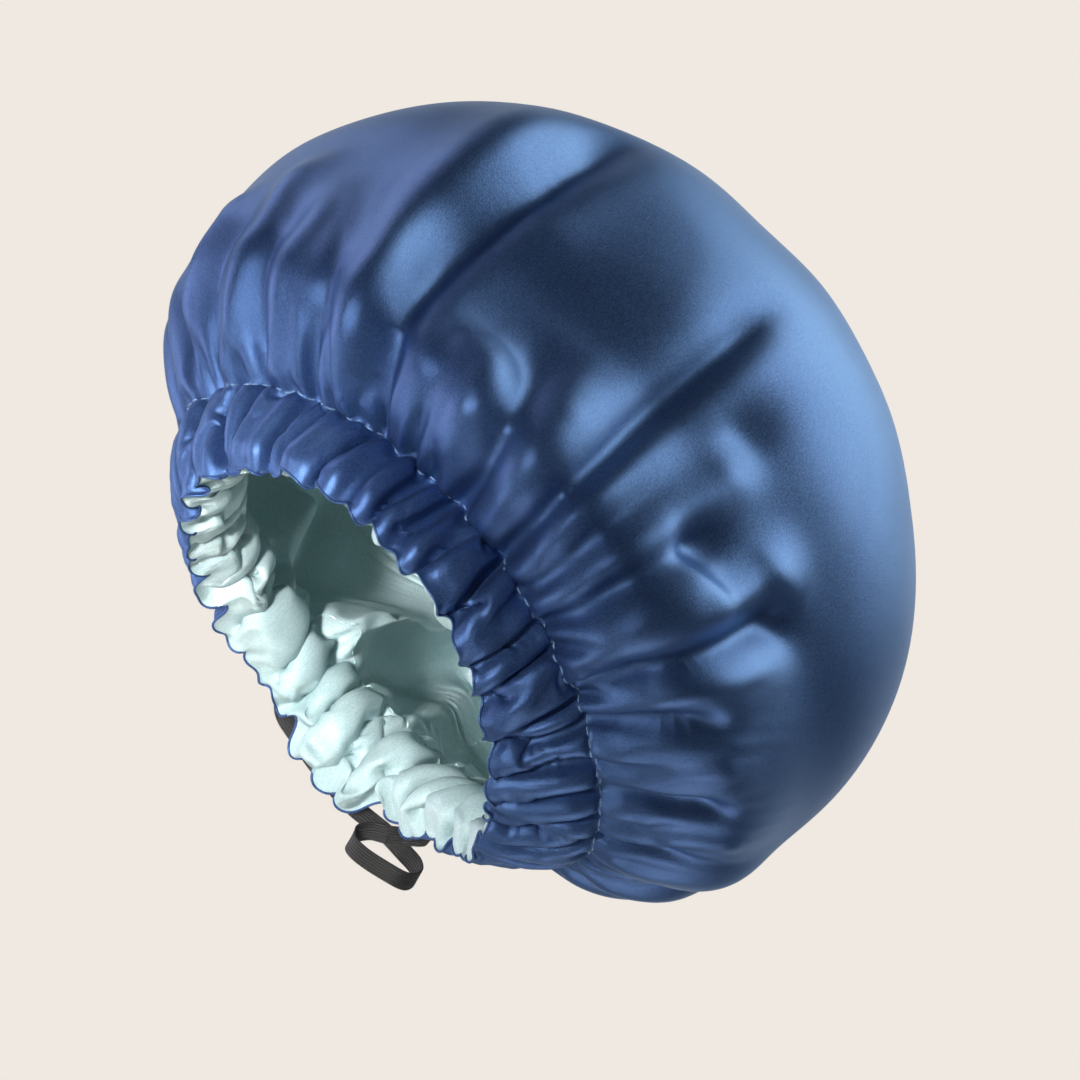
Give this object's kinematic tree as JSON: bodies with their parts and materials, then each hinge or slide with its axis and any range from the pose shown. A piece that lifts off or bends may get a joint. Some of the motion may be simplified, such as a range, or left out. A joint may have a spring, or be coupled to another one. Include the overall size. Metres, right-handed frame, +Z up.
{
  "type": "hair bonnet",
  "caption": "Reversible double-layer satin hair bonnet: a puffed crown gathered into a scrunched band, with an elastic in the band that comes out at the nape to be pulled tight.",
  "frame": {"origin": "middle of the head opening, in the plane of the row of casing stitches", "axes": "+Z up through the crown along the opening's axis, +Y towards the nape, +X towards the wearer's left"},
  "size_m": [0.2809, 0.2917, 0.2286],
  "materials": {
    "satin_blue": "polyester charmeuse satin, royal to navy blue, strong soft sheen",
    "satin_mint": "polyester charmeuse satin, pale mint, soft sheen",
    "elastic_black": "flat braided elastic, black, fine ribs along its length, dull",
    "thread_blue": "polyester sewing thread, light blue",
    "thread_mint": "polyester sewing thread, pale mint"
  },
  "bodies": {
    "bonnet": {"outer_shell": "satin_blue", "lining": "satin_mint", "casing_elastic_left": "elastic_black", "casing_elastic_right": "elastic_black", "elastic_join_stitches": "thread_mint", "row_thread_outer": "thread_blue", "row_thread_inner": "thread_mint", "edge_seam_thread": "thread_mint", "slot_binding_left": "thread_blue", "slot_binding_right": "thread_blue", "strap_run_left": "elastic_black", "strap_run_right": "elastic_black"},
    "strap_leads": {"strap_lead_left": "elastic_black", "strap_lead_right": "elastic_black"},
    "curl": {"strap_loop": "elastic_black"}
  },
  "joints": [
    {"name": "strap_pull", "type": "slide", "parent": "bonnet", "child": "strap_leads", "axis": [0, 0, -1], "range_m": [0, 0.03], "stiffness_N_per_m": 20, "deforming": ["strap_run_left", "strap_run_right"]},
    {"name": "curl_swing", "type": "hinge", "parent": "strap_leads", "child": "curl", "pos_m": [0.02643, 0.09282, -0.0225], "axis": [0.9659, -0.2588, 0], "range_deg": [-30, 50]}
  ]
}
